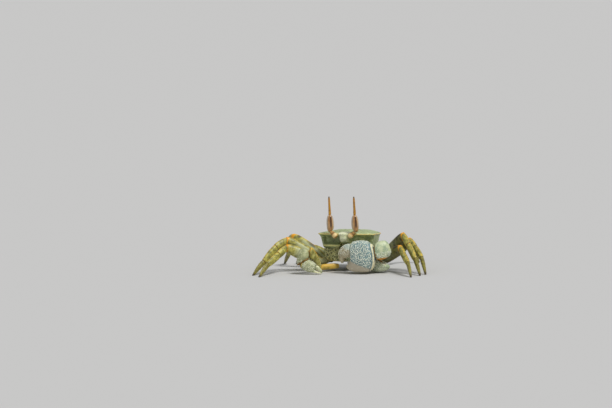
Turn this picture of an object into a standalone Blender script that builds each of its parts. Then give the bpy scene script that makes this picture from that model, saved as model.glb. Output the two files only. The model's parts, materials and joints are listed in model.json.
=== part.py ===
# Horned ghost crab, an adult standing on its walking legs with the claws folded in front of the mouth.
# A still, life-size model: no joint moves. Lengths below are in millimetres, the solids are in metres.
# The body frame has +X to the crab's own left, -Y to its front and +Z up, with its origin on the
# front part of the back; BODY_TURN, BODY_PITCH and BODY_ROLL carry it into the world.
import math

import bmesh
import bpy
from mathutils import Matrix, Vector

for old in list(bpy.data.objects):
    bpy.data.objects.remove(old, do_unlink=True)

MM = 0.001

# ---- driving dimensions ----
BODY_TURN = -22.0            # about the vertical, the front swings to the crab's right
BODY_PITCH = -5.0            # the front is carried a little higher than the rear
BODY_ROLL = 0.6              # the left side is carried a touch lower than the right
CENTRE = (-1.8, 3.7)         # keeps the middle of the whole model over the origin
BODY_AT = (13.9 - CENTRE[0], 13.0 - CENTRE[1], 36.6)
HALF_PLAN = (                # half outline of the back, front to rear: (side, fore-aft)
    (0.0, -28.4), (3.2, -28.0), (4.7, -25.6), (6.2, -23.4), (10.4, -22.6), (16.0, -21.2), (21.4, -18.8),
    (25.6, -17.6), (29.2, -16.4), (29.0, -12.0), (28.8, -6.0), (27.8, 2.0), (25.6, 10.0), (22.4, 17.0),
    (17.2, 21.4), (10.6, 23.4), (0.0, 24.0))
PLAN_STEPS = 30              # points along each half of the outline
DOME = ((3.2, 0.14), (3.0, 0.36), (2.4, 0.60), (1.4, 0.82), (0.5, 0.95), (-0.4, 1.0), (-1.5, 0.995))
FLANK = ((-3.0, 0.975), (-5.5, 0.955), (-8.5, 0.93), (-11.0, 0.91), (-12.6, 0.90), (-14.8, 0.87))
ORBIT_DEPTH = 5.2
ROSTRUM_DROP = 7.5
TRUNK_TOP = -15.2
TRUNK_BOTTOM = -28.4
TRUNK_HALF = 18.6            # half width of the trunk where the walking legs start
GAP = 0.22                   # half of the clearance kept at every joint

# Walking legs: base in the body frame, then lengths (to the knee, carpus, propodus, dactyl),
# azimuth and rise of the merus, azimuth of the lower leg, rise of the carpus, and how high the
# ankle stands as a share of the dactyl's length.
LEGS = {
    "leg2_right": ((-1, -8.0, -23.6), (47, 13, 18, 17), (186, 13), 227, -26, 0.64),
    "leg3_right": ((-1, -1.0, -23.6), (51, 14, 20, 18.5), (182, 20), 215, -24, 0.66),
    "leg4_right": ((-1, 6.0, -23.0), (51, 14, 19, 18), (155, 20), 105, -18, 0.56),
    "leg5_right": ((-1, 13.0, -22.4), (35, 10, 13, 12), (142, 9), 128, -4, 0.75),
    "leg2_left": ((1, -8.0, -23.6), (47, 13, 18, 17), (-43, 13), -78, -26, 0.75),
    "leg3_left": ((1, -1.0, -23.6), (52, 14, 20, 18.5), (-43, 26), -68, -34, 0.82),
    "leg4_left": ((1, 6.0, -23.0), (51, 14, 19, 18), (-38, 19), -70, -24, 0.86),
    "leg5_left": ((1, 13.0, -22.4), (35, 10, 13, 12), (30, 18), 36, -8, 0.75),
}
# Stations of each leg segment: (part of the length, dorsal, ventral, half thickness), for leg 3.
MERUS = ((0.0, 2.7, 2.7, 2.2), (0.1, 3.0, 3.0, 2.3), (0.22, 3.3, 3.2, 2.5), (0.34, 4.9, 4.9, 3.0),
         (0.56, 5.8, 6.0, 3.2), (0.8, 5.8, 5.9, 3.2), (0.94, 4.8, 4.8, 3.0), (1.0, 3.6, 3.6, 2.6))
BEND_AT = 0.22               # the ischium runs out and down this far, then the merus climbs to the knee
ISCHIUM_DIP = -26.0
CARPUS = ((0.0, 3.0, 2.9, 2.4), (0.3, 4.2, 3.4, 2.9), (0.75, 4.5, 4.0, 2.9), (1.0, 3.9, 3.6, 2.6))
PROPODUS = ((0.0, 3.7, 3.5, 2.5), (0.3, 4.4, 3.9, 2.7), (0.75, 4.0, 3.5, 2.4), (1.0, 3.1, 2.8, 2.0))
DACTYL = ((0.0, 2.9, 2.6, 1.9), (0.3, 3.0, 2.6, 1.9), (0.65, 2.1, 1.9, 1.4), (1.0, 0.9, 0.9, 0.8))
LEG_SIZE = {"leg2": 0.95, "leg3": 1.0, "leg4": 0.97, "leg5": 0.72}

EYE_SIDE = 13.3
EYE_FORE = -26.2
KNOB_SIDE = 7.9
EYE_BASE = 41.2              # heights over the floor
EYE_TOP = 57.6
HORN_TOP = 76.2
EYE_HALF = 3.8
HORN_HALF = 1.45


def turn(axis, degrees):
    return Matrix.Rotation(math.radians(degrees), 4, axis)


BODY = Matrix.Translation(BODY_AT) @ turn("Z", BODY_TURN) @ turn("X", BODY_PITCH) @ turn("Y", BODY_ROLL)


def body(x, y, z):
    return BODY @ Vector((x, y, z))


def heading(azimuth, rise):
    a, r = math.radians(azimuth), math.radians(rise)
    return Vector((math.cos(r) * math.cos(a), math.cos(r) * math.sin(a), math.sin(r)))


SHELL = {
    "back_shell": (0.36, 0.45, 0.33), "trunk_shell": (0.20, 0.22, 0.12), "mouth_plates": (0.42, 0.44, 0.26),
    "claw_shell": (0.40, 0.47, 0.42), "claw_finger": (0.55, 0.52, 0.38), "leg_shell": (0.36, 0.38, 0.14),
    "leg_dactyl": (0.24, 0.19, 0.08), "eye_stalk": (0.66, 0.42, 0.12), "cornea": (0.40, 0.20, 0.07),
    "eye_horn": (0.45, 0.29, 0.05),
}


def material(name):
    mat = bpy.data.materials.get(name)
    if mat is None:
        mat = bpy.data.materials.new(name)
        mat.use_nodes = True
        mat.node_tree.nodes["Principled BSDF"].inputs["Base Color"].default_value = (*SHELL[name], 1.0)
        mat.node_tree.nodes["Principled BSDF"].inputs["Roughness"].default_value = 0.45
        mat.diffuse_color = (*SHELL[name], 1.0)
    return mat


crab = bpy.data.collections.new("ghost_crab")
bpy.context.scene.collection.children.link(crab)


def solid(name, rings, mat, tips=(None, None)):
    """A closed solid through rings of points; each end is a fan to its tip or to the ring's middle."""
    bm = bmesh.new()
    loops = [[bm.verts.new(p * MM) for p in ring] for ring in rings]
    for a, b in zip(loops, loops[1:]):
        for i in range(len(a)):
            j = (i + 1) % len(a)
            bm.faces.new((a[i], a[j], b[j], b[i]))
    for loop, ring, tip in ((loops[0][::-1], rings[0], tips[0]), (loops[-1], rings[-1], tips[1])):
        middle = tip if tip is not None else sum(ring, Vector()) / len(ring)
        apex = bm.verts.new(middle * MM)
        for i in range(len(loop)):
            bm.faces.new((loop[i], loop[(i + 1) % len(loop)], apex))
    bmesh.ops.recalc_face_normals(bm, faces=bm.faces)
    bmesh.ops.triangulate(bm, faces=[f for f in bm.faces if len(f.verts) > 3])
    mesh = bpy.data.meshes.new(name)
    bm.to_mesh(mesh)
    bm.free()
    obj = bpy.data.objects.new(name, mesh)
    mesh.materials.append(material(mat))
    crab.objects.link(obj)
    return obj


def oval(centre, up, side, top, bottom, half, count, power=2.3):
    ring = []
    for i in range(count):
        a = 2.0 * math.pi * i / count
        c, s = math.cos(a), math.sin(a)
        c = math.copysign(abs(c) ** (2.0 / power), c)
        s = math.copysign(abs(s) ** (2.0 / power), s)
        ring.append(centre + up * (c * (top if c > 0 else bottom)) + side * (s * half))
    return ring


def onto_plane(ring, centre, along, normal):
    """Slides each point along the segment until the ring lies in the plane through its centre."""
    lean = along.dot(normal)
    return [p - along * ((p - centre).dot(normal) / lean) for p in ring]


def segment(name, start, end, stations, size, mat, planes=(None, None), count=10, up=None, power=2.3, bow=0.0,
            bend=None):
    """One limb segment: rings along a line, or along two lines that meet at the bend; its two end
    faces are cut on the planes of its joints."""
    lead = ((bend or end) - start).normalized()
    tail = (end - (bend or start)).normalized()
    first = planes[0] or lead
    last = planes[1] or tail
    a, b = start + lead * (GAP / abs(lead.dot(first))), end - tail * (GAP / abs(tail.dot(last)))
    if last.z < -0.999:
        b = end
    rings = []
    for t, top, bottom, half in stations:
        share = 0.5 + 0.5 * max(-1.0, min(1.0, (t - BEND_AT) / 0.08)) if bend else 1.0
        along = (lead * (1.0 - share) + tail * share).normalized()
        rise = up or Vector((0.0, 0.0, 1.0))
        rise = (rise - along * rise.dot(along)).normalized()
        centre = a.lerp(b, t) + rise * (bow * 4.0 * t * (1.0 - t))
        if bend and t < BEND_AT:
            centre = a.lerp(bend, t / BEND_AT)
        elif bend:
            centre = bend.lerp(b, (t - BEND_AT) / (1.0 - BEND_AT))
        normal = (first * max(0.0, 1.0 - 2.2 * t) + last * max(0.0, 2.2 * t - 1.2)
                  + along * (1.0 - abs(2.0 * t - 1.0))).normalized()
        if bend and abs(t - BEND_AT) < 0.1:
            normal = along
        if t <= 0.0:
            normal = first
        if t >= 1.0:
            normal = last
        ring = oval(centre, rise, along.cross(rise), top * size, bottom * size, half * size, count, power)
        rings.append(onto_plane(ring, centre, along, normal))
    return solid(name, rings, mat)


def between(one, two):
    return (one + two).normalized()


# ---- back, flanks and orbits ----
def plan_outline():
    """The whole outline of the back at even steps of arc, from the nose round by the left."""
    run = [0.0]
    for p, q in zip(HALF_PLAN, HALF_PLAN[1:]):
        run.append(run[-1] + math.hypot(q[0] - p[0], q[1] - p[1]))
    half = []
    for k in range(PLAN_STEPS + 1):
        s = run[-1] * k / PLAN_STEPS
        i = min(len(run) - 2, max(j for j in range(len(run)) if run[j] <= s + 1e-9))
        f = (s - run[i]) / (run[i + 1] - run[i])
        half.append((HALF_PLAN[i][0] + f * (HALF_PLAN[i + 1][0] - HALF_PLAN[i][0]),
                     HALF_PLAN[i][1] + f * (HALF_PLAN[i + 1][1] - HALF_PLAN[i][1])))
    return half + [(-x, y) for x, y in half[-2:0:-1]]


def window(v, low, high, soft):
    """One between low and high, easing to nothing over soft outside them."""
    d = max(low - v, v - high, 0.0) / soft
    return 0.0 if d >= 1.0 else 0.5 + 0.5 * math.cos(math.pi * d)


def back_point(x, y, z, scale):
    if z > -0.3:
        # towards the crown the outline loses its nose and teeth and becomes a plain oval
        oval_x, oval_y = max(-26.4, min(26.4, x)), max(-20.0, min(21.0, y))
        plain = min(1.0, (1.0 - scale) * 4.0)
        x, y = x + (oval_x - x) * plain, y + (oval_y - y) * plain
    px, py = x * scale, -1.0 + (y + 1.0) * (scale if z > -1.0 else 0.5 + 0.5 * scale)
    front = window(y, -40.0, -17.6, 1.4)
    if z < -1.0:
        nose = window(x, -4.2, 4.2, 1.6) * front
        py += nose * max(0.0, (-z - ROSTRUM_DROP)) * 2.2 if z < -ROSTRUM_DROP else 0.0
        py = min(py, -17.6) if nose > 0.5 else py
        socket = window(abs(x), 7.0, 24.4, 3.6) * window(z, -10.0, -3.2, 2.0) * front
        py += ORBIT_DEPTH * socket
    return body(px, py, z)


outline = plan_outline()
back_rings = []
for level, scale in DOME + FLANK:
    back_rings.append([back_point(x, y, level, scale) for x, y in outline])
solid("carapace", back_rings, "back_shell", tips=(body(0.0, -1.0, 3.3), None))

# ---- trunk: the front wall below the orbits and the floor the legs start from ----
TRUNK_PLAN = ((0.0, -18.6), (9.0, -18.6), (17.0, -18.4), (23.6, -17.4), (24.0, -15.6),
              (TRUNK_HALF, -11.8), (TRUNK_HALF, -4.0), (TRUNK_HALF, 4.0), (TRUNK_HALF, 12.0),
              (TRUNK_HALF - 1.2, 17.0), (11.0, 20.0), (0.0, 20.6))
TRUNK_LEVELS = ((TRUNK_TOP, 1.0), (-19.0, 1.0), (-23.0, 0.995), (-26.4, 0.975), (TRUNK_BOTTOM, 0.90))
trunk_half = []
for p, q in zip(TRUNK_PLAN, TRUNK_PLAN[1:]):
    trunk_half += [p, ((p[0] + q[0]) / 2, (p[1] + q[1]) / 2)]
trunk_half.append(TRUNK_PLAN[-1])
trunk_outline = trunk_half + [(-x, y) for x, y in trunk_half[-2:0:-1]]
solid("trunk", [[body(x * s, y * s, z) for x, y in trunk_outline] for z, s in TRUNK_LEVELS], "trunk_shell")

# ---- mouth plates (third maxillipeds) and the narrow abdomen folded under the trunk ----
for side, word in ((1, "left"), (-1, "right")):
    across = BODY.to_3x3() @ Vector((1.0, 0.0, 0.0))
    ahead = BODY.to_3x3() @ Vector((0.0, -1.0, 0.0))
    plate = ((0.0, 2.2, 2.2, 1.0), (0.2, 3.4, 3.4, 1.3), (0.6, 3.8, 3.8, 1.3), (0.9, 3.0, 3.0, 1.2),
             (1.0, 1.8, 1.8, 0.9))
    segment("maxilliped_" + word, body(side * 4.3, -20.4, -27.6), body(side * 4.3, -20.6, -15.3), plate, 1.0,
            "mouth_plates", up=across * side, count=12, power=3.0)
under = BODY.to_3x3() @ Vector((1.0, 0.0, 0.0))
flap = ((0.0, 4.8, 4.8, 0.7), (0.3, 5.0, 5.0, 0.9), (0.6, 3.2, 3.2, 0.9), (1.0, 1.6, 1.6, 0.6))
segment("abdomen", body(0, 16.0, -29.9), body(0, -12.5, -29.9), flap, 1.0, "trunk_shell", up=under, count=10)

# ---- eyes: a stalk that swings out from beside the nose, the upright eye on it, and its horn ----
for side, word in ((1, "left"), (-1, "right")):
    knob = body(side * KNOB_SIDE, -27.4, -2.6)
    foot = body(side * EYE_SIDE, EYE_FORE, 0.0)
    foot.z = EYE_BASE
    lean = Vector((-0.012, 0.0, 1.0)).normalized()
    crown = foot + lean * (EYE_TOP - EYE_BASE)
    tip = foot + lean * (HORN_TOP - EYE_BASE)
    arm = (foot - knob).normalized()
    stalk = ((0.0, 2.0, 2.0, 2.0), (0.3, 2.6, 2.6, 2.5), (0.7, 2.1, 2.1, 2.0), (1.0, 1.6, 1.6, 1.6))
    segment("eyestalk_" + word, knob - arm * 1.6, foot, stalk, 1.0, "eye_stalk",
            planes=(None, between(arm, lean)), count=12, power=2.0)
    bulb = [(0.5 - 0.5 * math.cos(math.pi * k / 8), EYE_HALF * math.sin(math.pi * (0.16 + 0.74 * k / 8)))
            for k in range(9)]
    segment("cornea_" + word, foot, crown, [(t, r, r, r * 0.96) for t, r in bulb], 1.0, "cornea",
            planes=(between(arm, lean), None), count=14, power=2.0, up=Vector((0.0, -1.0, 0.0)))
    spike = [(t, r, r, r) for t, r in ((0.0, HORN_HALF), (0.3, 1.15), (0.8, 0.95), (0.93, 0.85), (1.0, 0.4))]
    segment("horn_" + word, crown, tip, spike, 1.0, "eye_horn", count=10, power=2.0,
            up=Vector((0.0, -1.0, 0.0)))

# ---- walking legs ----
for key, (base, lengths, (turn1, rise1), turn2, rise2, stand) in LEGS.items():
    grade = LEG_SIZE[key[:4]]
    root = body(base[0] * (TRUNK_HALF + GAP), base[1], base[2])
    outward = BODY.to_3x3() @ Vector((base[0], 0.0, 0.0))
    d1, d2 = heading(turn1, rise1), heading(turn2, rise2)
    knee = root + d1 * lengths[0]
    wrist = knee + d2 * lengths[1]
    drop = min(0.985, (wrist.z - stand * lengths[3]) / lengths[2])
    d3 = heading(turn2, -math.degrees(math.asin(drop)))
    ankle = wrist + d3 * lengths[2]
    d4 = heading(turn2, -math.degrees(math.asin(ankle.z / lengths[3])))
    foot = ankle + d4 * lengths[3]
    floor = Vector((0.0, 0.0, -1.0))
    bend = root + heading(turn1, ISCHIUM_DIP) * (0.25 * lengths[0])
    d1 = (knee - bend).normalized()
    p1, p2, p3 = between(d1, d2), between(d2, d3), between(d3, d4)
    segment(key + "_merus", root, knee, MERUS, grade, "leg_shell", (outward, p1), count=10, bend=bend)
    segment(key + "_carpus", knee, wrist, CARPUS, grade, "leg_shell", (p1, p2), count=10)
    segment(key + "_propodus", wrist, ankle, PROPODUS, grade, "leg_shell", (p2, p3), count=10)
    segment(key + "_dactyl", ankle, foot, DACTYL, grade, "leg_dactyl", (p3, floor), count=8, bow=0.7 * grade)

# ---- claws ----
# Places over the floor: where the short ischium starts under the trunk, the elbow, the end of the
# merus, the ends of the wrist block (carpus), and the way the palm points and dips.
CLAWS = {
    "left": {"ischium": (17.0, -1.0, 5.6), "elbow": (24.8, -14.8, 5.8), "merus_end": (41.8, -29.0, 10.8),
             "merus_face": (0.35, -0.2, 0.9), "carpus": ((49.4, -33.4, 26.2), (35.4, -36.6, 21.8)),
             "wrist": (35.4, -36.6, 21.8), "palm": (157.0, -3.0), "limb": 1.0},
    "right": {"ischium": (-1.4, 1.0, 5.2), "elbow": (-20.4, -1.6, 4.6), "merus_end": (-30.0, -11.8, 23.2),
              "merus_face": (-0.9, -0.2, 0.35), "carpus": ((-35.0, -13.8, 25.6), (-38.3, -15.2, 12.4)),
              "wrist": (-38.3, -15.2, 12.4), "palm": (-15.0, -27.0), "limb": 0.74},
}
CLAW_MERUS = {
    "left": ((0.0, 3.4, 3.2, 2.8), (0.2, 5.2, 5.0, 3.8), (0.55, 7.6, 8.4, 5.2), (0.85, 8.2, 9.4, 5.4),
             (1.0, 6.0, 6.6, 4.2)),
    "right": ((0.0, 3.4, 3.2, 2.8), (0.2, 4.8, 4.4, 3.6), (0.6, 6.2, 6.0, 4.2), (0.88, 6.2, 6.2, 4.4),
              (1.0, 4.6, 5.0, 3.8)),
}
ISCHIUM = ((0.0, 2.3, 2.3, 2.3), (0.3, 2.9, 2.7, 2.7), (0.8, 2.9, 2.7, 2.7), (1.0, 2.5, 2.4, 2.4))
BLOCKS = {"left": ((0.0, 5.4, 5.2, 3.8), (0.1, 7.8, 7.4, 5.6), (0.4, 9.2, 9.2, 7.0), (0.8, 9.0, 9.2, 6.4),
                   (1.0, 6.4, 6.8, 4.6)),
          "right": ((0.0, 3.0, 3.0, 2.6), (0.2, 5.2, 4.8, 4.2), (0.6, 6.2, 6.2, 5.0), (1.0, 4.2, 4.4, 3.6))}
# Palm with its fixed finger in the plane of the claw: (along, top, bottom, half thickness).
PALMS = {
    "left": ((0.0, 2.4, 5.0, 3.4), (1.4, 6.6, 7.8, 5.0), (3.4, 8.8, 13.2, 6.4), (6.6, 11.0, 18.6, 7.4),
             (11.0, 12.2, 19.6, 8.0), (18.0, 12.4, 19.0, 7.8), (22.4, 11.6, 18.6, 7.0),
             (24.6, 10.8, 18.2, 6.4), (25.2, -4.6, 18.0, 5.6), (28.0, -7.4, 17.4, 4.4),
             (31.0, -10.2, 16.2, 2.8), (33.2, -12.8, 14.2, 0.8)),
    "right": ((0.0, 2.0, 2.2, 1.8), (1.4, 4.2, 4.2, 3.0), (4.0, 5.2, 5.8, 3.8), (8.0, 5.4, 6.2, 4.0),
              (12.0, 5.0, 5.2, 3.7), (14.0, 4.4, 4.4, 3.2), (14.4, -1.0, 4.2, 2.6), (17.5, -1.2, 3.2, 2.0),
              (20.5, -1.0, 2.0, 1.4), (22.6, -0.7, 1.1, 0.6)),
}
# Movable finger: a path in the same plane, then (share of the path, outer, inner, half thickness).
FINGER_DRIFT = 0.15          # how fast the fixed finger leans to the side of the palm
FINGER_PATHS = {"left": ((25.7, 3.4), (38.6, 3.6), (37.2, -9.2)),
                "right": ((14.9, 1.7), (19.0, 2.1), (23.2, -0.2))}
FINGERS = {
    "left": ((0.0, 7.0, 7.2, 5.6), (0.22, 6.9, 6.8, 5.2), (0.45, 5.8, 6.0, 4.4), (0.7, 4.3, 4.2, 3.2),
             (0.9, 2.3, 2.2, 1.8), (1.0, 0.9, 0.9, 0.8)),
    "right": ((0.0, 2.5, 2.2, 2.4), (0.3, 2.5, 1.9, 2.1), (0.6, 1.9, 1.5, 1.6), (0.85, 1.2, 1.0, 1.0),
              (1.0, 0.5, 0.5, 0.5)),
}


def place(xyz):
    return Vector((xyz[0] - CENTRE[0], xyz[1] - CENTRE[1], xyz[2]))


for word, claw in CLAWS.items():
    grade = claw["limb"]
    start, elbow, merus_end = place(claw["ischium"]), place(claw["elbow"]), place(claw["merus_end"])
    block_a, block_b = place(claw["carpus"][0]), place(claw["carpus"][1])
    wrist = place(claw["wrist"])
    d1 = (elbow - start).normalized()
    d2 = (merus_end - elbow).normalized()
    d3 = (block_b - block_a).normalized()
    e1 = heading(*claw["palm"])
    e2 = (Vector((0.0, 0.0, 1.0)) - e1 * e1.z).normalized()
    e3 = e1.cross(e2)
    segment("claw_" + word + "_ischium", start, elbow, ISCHIUM, 0.9 + 0.1 * grade, "claw_shell",
            (None, between(d1, d2)), count=12)
    segment("claw_" + word + "_merus", elbow, merus_end, CLAW_MERUS[word], grade, "claw_shell",
            (between(d1, d2), Vector(claw["merus_face"]).normalized()), count=14)
    segment("claw_" + word + "_carpus", block_a, block_b, BLOCKS[word], 1.0, "claw_shell",
            (None, between(d3, e1)), count=16, up=e2, power=2.5)
    palm = PALMS[word]
    knuckle = palm[-5][0]
    rings = []
    for s, top, bottom, half in palm:
        middle = wrist + e1 * (s + GAP) + e2 * (0.5 * (top - bottom))
        middle += e3 * (FINGER_DRIFT * grade * max(0.0, s - knuckle) ** 1.3)
        rings.append(oval(middle, e2, e3, 0.5 * (top + bottom), 0.5 * (top + bottom), half, 20, 2.4))
    fold = between(d3, e1)
    for k in range(4):
        share = 1.0 - k / 4.0
        anchor = wrist + e1 * (palm[k][0] + GAP / e1.dot(fold))
        rings[k] = onto_plane(rings[k], anchor, e1, (fold * share + e1 * (1.0 - share)).normalized())
    solid("claw_" + word + "_palm", rings, "claw_shell")
    rings = []
    p0, p1, p2 = [Vector((a + GAP, u)) for a, u in FINGER_PATHS[word]]
    for t, top, bottom, half in FINGERS[word]:
        spot = p0 * (1 - t) ** 2 + p1 * (2 * t * (1 - t)) + p2 * t ** 2
        tangent = ((p1 - p0) * (1 - t) + (p2 - p1) * t).normalized()
        outer = e1 * -tangent.y + e2 * tangent.x
        middle = wrist + e1 * spot.x + e2 * spot.y + e3 * (2.0 * grade * t * t)
        rings.append(oval(middle, outer, e3, top, bottom, half, 12, 2.2))
    solid("claw_" + word + "_finger", rings, "claw_finger")
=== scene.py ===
# %% [markdown]
# # A horned ghost crab at life size
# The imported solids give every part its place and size. This lesson dresses them: each shell plate
# becomes a finer, rounder copy of its solid, gets its grooves and ridges, and then the grains,
# teeth, bristles and soft joint skins that a crab carries. Lengths are millimetres times MM.

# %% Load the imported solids
import json
import math

import bmesh
import bpy
import numpy as np
from mathutils import Matrix, Vector
from mathutils.bvhtree import BVHTree
from mathutils.kdtree import KDTree

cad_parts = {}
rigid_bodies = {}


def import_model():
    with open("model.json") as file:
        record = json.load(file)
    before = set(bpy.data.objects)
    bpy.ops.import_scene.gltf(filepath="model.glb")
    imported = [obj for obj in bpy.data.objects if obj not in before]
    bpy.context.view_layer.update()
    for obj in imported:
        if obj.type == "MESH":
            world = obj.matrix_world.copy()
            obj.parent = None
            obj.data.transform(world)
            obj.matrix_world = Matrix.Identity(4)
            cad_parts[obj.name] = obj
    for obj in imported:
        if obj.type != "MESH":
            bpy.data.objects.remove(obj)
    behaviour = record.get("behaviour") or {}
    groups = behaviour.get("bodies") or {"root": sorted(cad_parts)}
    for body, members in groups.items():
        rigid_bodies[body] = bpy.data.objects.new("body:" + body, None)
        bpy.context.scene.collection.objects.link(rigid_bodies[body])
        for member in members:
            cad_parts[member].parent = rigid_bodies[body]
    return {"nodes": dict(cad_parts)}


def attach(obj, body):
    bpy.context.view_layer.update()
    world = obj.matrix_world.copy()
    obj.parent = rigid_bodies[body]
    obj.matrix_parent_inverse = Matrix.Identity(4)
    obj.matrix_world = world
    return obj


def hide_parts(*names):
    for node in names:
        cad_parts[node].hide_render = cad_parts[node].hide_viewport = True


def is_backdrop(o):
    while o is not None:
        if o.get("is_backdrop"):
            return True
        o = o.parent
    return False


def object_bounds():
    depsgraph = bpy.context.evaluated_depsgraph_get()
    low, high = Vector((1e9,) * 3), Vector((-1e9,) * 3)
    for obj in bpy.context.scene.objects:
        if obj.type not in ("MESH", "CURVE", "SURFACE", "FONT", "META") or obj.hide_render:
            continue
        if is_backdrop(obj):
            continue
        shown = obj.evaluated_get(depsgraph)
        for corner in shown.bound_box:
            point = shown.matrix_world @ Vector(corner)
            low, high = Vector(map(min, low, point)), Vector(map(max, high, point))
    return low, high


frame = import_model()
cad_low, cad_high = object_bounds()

MM = 0.001
box_mm = [round((b - a) / MM, 1) for a, b in zip(cad_low, cad_high)]
print("solids:", len(frame["nodes"]), "box in mm:", box_mm)

# %% [markdown]
# ## Small tools
# Colours are written as sRGB hex codes, as a painter picks them, and turned to the linear values
# that Blender's sockets hold. One function adds any node with its settings and links.

# %% Colour and node helpers
def linear(code):
    parts = [int(code[i:i + 2], 16) / 255 for i in (1, 3, 5)]
    return (*[c / 12.92 if c <= 0.04045 else ((c + 0.055) / 1.055) ** 2.4 for c in parts], 1.0)


def add(tree, kind, inputs=None, stops=None, **settings):
    """Adds one node: settings are its properties, inputs are values or sockets, stops fill a ramp."""
    node = tree.nodes.new(kind)
    for key, value in settings.items():
        setattr(node, key, value)
    for key, value in (inputs or {}).items():
        if isinstance(value, bpy.types.NodeSocket):
            tree.links.new(value, node.inputs[key])
        else:
            node.inputs[key].default_value = value
    if stops:
        ramp = node.color_ramp.elements
        while len(ramp) > 1:
            ramp.remove(ramp[-1])
        ramp[0].position, ramp[0].color = stops[0][0], linear(stops[0][1])
        for place, code in stops[1:]:
            ramp.new(place).color = linear(code)
    return node


# %% [markdown]
# ## A finer copy of a solid
# A solid is a coarse cage. Its copy is merged, its triangles are paired into quads, and a
# Subdivision Surface rounds it; the edges of its cut ends are creased so that they stay crisp.
# Subdivision pulls a coarse round form inwards, so the copy is swelled back by a fraction of a millimetre.

# %% Fine shells, their points and their masks
def mesh_of(obj):
    """The object's evaluated mesh as a plain one."""
    graph = bpy.context.evaluated_depsgraph_get()
    return bpy.data.meshes.new_from_object(obj.evaluated_get(graph))


def link(name, mesh):
    obj = bpy.data.objects.new(name, mesh)
    bpy.context.scene.collection.objects.link(obj)
    return obj


def fine_shell(node, levels=3, crease=0.5, swell=0.2):
    bm = bmesh.new()
    bm.from_mesh(frame["nodes"][node].data)
    bmesh.ops.remove_doubles(bm, verts=bm.verts, dist=0.002 * MM)
    flat = math.radians(38)
    bmesh.ops.join_triangles(bm, faces=bm.faces, angle_face_threshold=flat, angle_shape_threshold=flat)
    layer = bm.edges.layers.float.new("crease_edge")
    for edge in bm.edges:
        if edge.calc_face_angle(0.0) > math.radians(55):
            edge[layer] = crease
    mesh = bpy.data.meshes.new(node)
    bm.to_mesh(mesh)
    bm.free()
    obj = link(node + "_skin", mesh)
    rounder = obj.modifiers.new("round", "SUBSURF")
    rounder.levels = rounder.render_levels = levels
    obj.data = mesh_of(obj)
    obj.modifiers.clear()
    obj.data.shade_smooth()
    move(obj, read(obj)[1] * swell)
    return obj


def read(obj):
    """Points in millimetres and normals, as arrays."""
    count = len(obj.data.vertices)
    points, normals = np.empty(count * 3), np.empty(count * 3)
    obj.data.vertices.foreach_get("co", points)
    obj.data.vertex_normals.foreach_get("vector", normals)
    return points.reshape(-1, 3) / MM, normals.reshape(-1, 3)


def move(obj, offset):
    """Shifts the points by an offset in millimetres."""
    points = read(obj)[0] + offset
    obj.data.vertices.foreach_set("co", (points * MM).ravel())
    obj.data.update()


def mask(obj, **values):
    for name, value in values.items():
        layer = obj.data.attributes.get(name) or obj.data.attributes.new(name, "FLOAT", "POINT")
        layer.data.foreach_set("value", np.clip(value, 0.0, 1.0).astype(np.float32))


def bump_at(distance, width):
    """One at no distance, fading like a bell."""
    return np.exp(-(distance / width) ** 2)


def step_at(value, low, high):
    """Zero below low, one above high, smooth between."""
    t = np.clip((value - low) / (high - low), 0.0, 1.0)
    return t * t * (3.0 - 2.0 * t)


def done(obj, material=None, nodes=()):
    """Gives a finished piece its material and body and hides the solids that it stands for."""
    places = np.empty(len(obj.data.vertices) * 3, np.float32)
    obj.data.vertices.foreach_get("co", places)
    places[2::3] = np.maximum(places[2::3], 0.0)
    obj.data.vertices.foreach_set("co", places)
    if material:
        obj.data.materials.clear()
        obj.data.materials.append(material)
    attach(obj, "root")
    if nodes:
        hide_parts(*nodes)
    return obj


# %% [markdown]
# ## The crab's own directions
# The body is turned to the crab's right, tipped up at the front and rolled a touch, so its grooves are
# drawn in the body's own frame. A limb has a length axis, which is the long axis of its points, and a
# dorsal side, which is the side nearest to the sky.

# %% Body frame and limb frames
BODY_TURN, BODY_PITCH, BODY_ROLL = (math.radians(a) for a in (-22.0, -5.0, 0.6))
BODY_AT = Vector((15.7, 9.3, 36.6))
BODY = (Matrix.Translation(BODY_AT) @ Matrix.Rotation(BODY_TURN, 4, "Z") @ Matrix.Rotation(BODY_PITCH, 4, "X")
        @ Matrix.Rotation(BODY_ROLL, 4, "Y"))
BODY_AXES = np.array(BODY.to_3x3())


def in_body(points):
    return (points - np.array(BODY_AT)) @ BODY_AXES


def solid_points(node):
    return np.array([v.co for v in frame["nodes"][node].data.vertices]) / MM


def limb_axes(node, towards=None, away_from=None):
    """Start point, length, and the unit axes (along, dorsal, side) of a limb segment."""
    points = solid_points(node)
    middle = points.mean(0)
    along = np.linalg.svd(points - middle, full_matrices=False)[2][0]
    aim = solid_points(towards).mean(0) - middle if towards else middle - solid_points(away_from).mean(0)
    along = along * np.sign(along @ aim)
    dorsal = np.array((0.0, 0.0, 1.0)) - along * along[2]
    dorsal /= np.linalg.norm(dorsal)
    reach = (points - middle) @ along
    axes = np.array((along, dorsal, np.cross(along, dorsal)))
    return middle + along * reach.min(), float(np.ptp(reach)), axes


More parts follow.
